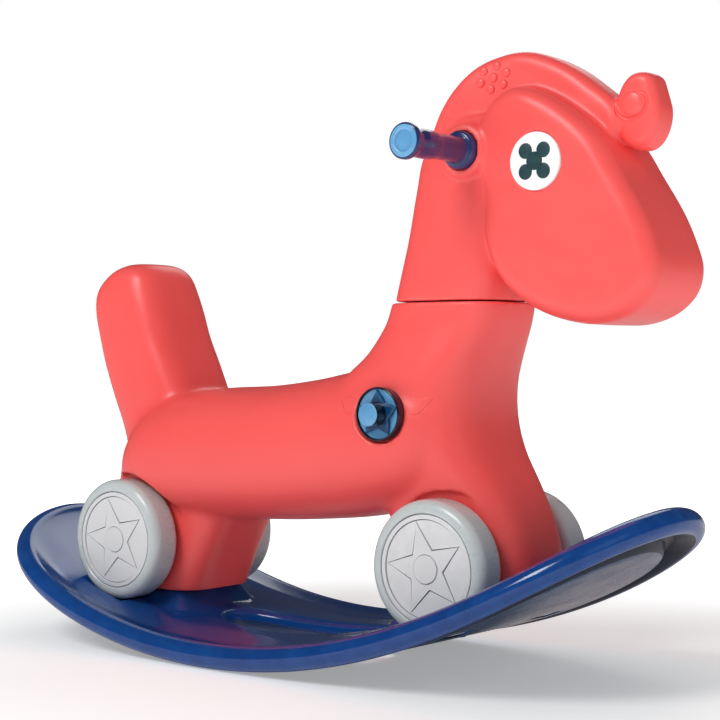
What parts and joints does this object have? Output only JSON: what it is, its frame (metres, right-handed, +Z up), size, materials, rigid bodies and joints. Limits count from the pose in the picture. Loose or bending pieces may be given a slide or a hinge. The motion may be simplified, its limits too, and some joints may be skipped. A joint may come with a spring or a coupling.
{
  "type": "rocking horse",
  "caption": "Child's ride-on rocking horse: hollow moulded horse with a handlebar and wheels, standing in a curved rocker tray it lifts off.",
  "frame": {"origin": "on the ground under the middle of the rocker tray", "axes": "+X the way the horse faces, +Y the horse's left, +Z up"},
  "size_m": [0.724, 0.28, 0.5295],
  "materials": {
    "coral_shell": "satin blow-moulded coral plastic",
    "rocker_blue": "glossy deep blue blow-moulded plastic",
    "wheel_grey": "satin light grey moulded plastic",
    "cap_silver": "silver-grey satin plastic",
    "steel": "zinc plated steel",
    "bush_natural": "natural nylon",
    "grip_blue": "glossy navy plastic",
    "cap_blue": "glossy light blue plastic",
    "eye_white": "white plastic disc with a dark printed four-leaf mark",
    "knob_blue": "glossy blue plastic"
  },
  "bodies": {
    "rocker": {"rocker_board": "rocker_blue", "tray_screw_front": "steel", "tray_screw_rear": "steel"},
    "horse": {"torso": "coral_shell", "head": "coral_shell", "handlebar_rod": "steel", "grip_left": "grip_blue", "grip_right": "grip_blue", "grip_cap_left": "cap_blue", "grip_cap_right": "cap_blue", "eye_left": "eye_white", "eye_right": "eye_white", "neck_bolt": "steel", "axle_front": "steel", "axle_rear": "steel", "axle_nut_front_left": "steel", "axle_nut_front_right": "steel", "axle_nut_rear_left": "steel", "axle_nut_rear_right": "steel", "axle_bush_front_left": "bush_natural", "axle_bush_front_right": "bush_natural", "axle_bush_rear_left": "bush_natural", "axle_bush_rear_right": "bush_natural"},
    "wheel_front_left": {"wheel_front_left": "wheel_grey", "hub_cap_front_left": "cap_silver"},
    "wheel_front_right": {"wheel_front_right": "wheel_grey", "hub_cap_front_right": "cap_silver"},
    "wheel_rear_left": {"wheel_rear_left": "wheel_grey", "hub_cap_rear_left": "cap_silver"},
    "wheel_rear_right": {"wheel_rear_right": "wheel_grey", "hub_cap_rear_right": "cap_silver"},
    "knob_left": {"star_knob_left": "knob_blue"},
    "knob_right": {"star_knob_right": "knob_blue"}
  },
  "joints": [
    {"name": "horse_lift", "type": "slide", "parent": "rocker", "child": "horse", "axis": [0, 0, 1], "range_m": [0, 0.12]},
    {"name": "wheel_front_left_spin", "type": "hinge", "parent": "horse", "child": "wheel_front_left", "pos_m": [0.17, 0.068, 0.098], "axis": [0, 1, 0], "continuous": true},
    {"name": "wheel_front_right_spin", "type": "hinge", "parent": "horse", "child": "wheel_front_right", "pos_m": [0.17, -0.068, 0.098], "axis": [0, 1, 0], "continuous": true},
    {"name": "wheel_rear_left_spin", "type": "hinge", "parent": "horse", "child": "wheel_rear_left", "pos_m": [-0.201, 0.068, 0.098], "axis": [0, 1, 0], "continuous": true},
    {"name": "wheel_rear_right_spin", "type": "hinge", "parent": "horse", "child": "wheel_rear_right", "pos_m": [-0.201, -0.068, 0.098], "axis": [0, 1, 0], "continuous": true},
    {"name": "knob_left_turn", "type": "hinge", "parent": "horse", "child": "knob_left", "pos_m": [0.1155, 0.078, 0.225], "axis": [0, 1, 0], "continuous": true},
    {"name": "knob_right_turn", "type": "hinge", "parent": "horse", "child": "knob_right", "pos_m": [0.1155, -0.078, 0.225], "axis": [0, 1, 0], "continuous": true}
  ]
}
